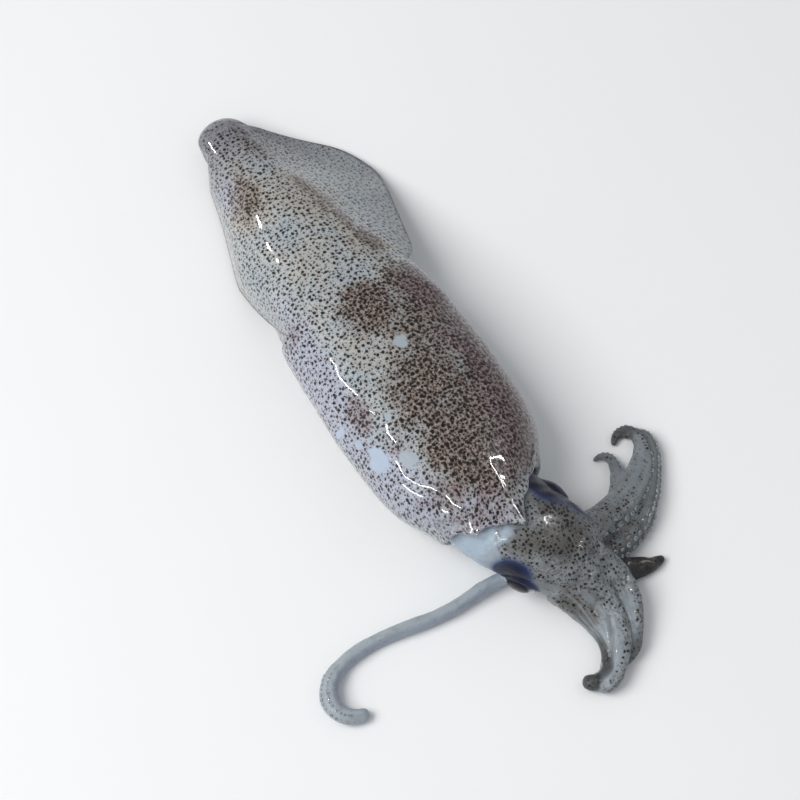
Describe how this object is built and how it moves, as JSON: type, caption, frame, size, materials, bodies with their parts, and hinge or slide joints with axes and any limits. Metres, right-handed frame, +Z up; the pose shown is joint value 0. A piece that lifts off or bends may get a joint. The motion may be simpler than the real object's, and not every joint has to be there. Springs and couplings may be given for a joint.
{
  "type": "whole raw squid",
  "caption": "Whole raw squid lying belly down, tapered speckled mantle with soft side fins, head bent to one side, curled arms and one trailing tentacle.",
  "frame": {"origin": "on the surface the squid lies on, under the middle of the whole's box", "axes": "+X from the tail tip towards the head and arms, +Y to the animal's left, +Z up out of its back"},
  "size_m": [0.1944, 0.113, 0.0321],
  "materials": {
    "mantle_skin": "wet speckled skin",
    "head_skin": "wet translucent skin, sparsely speckled",
    "eye": "wet, glossy, near black"
  },
  "bodies": {
    "root": {"mantle": "mantle_skin", "head": "head_skin", "eye_left": "eye", "eye_right": "eye"}
  },
  "joints": []
}
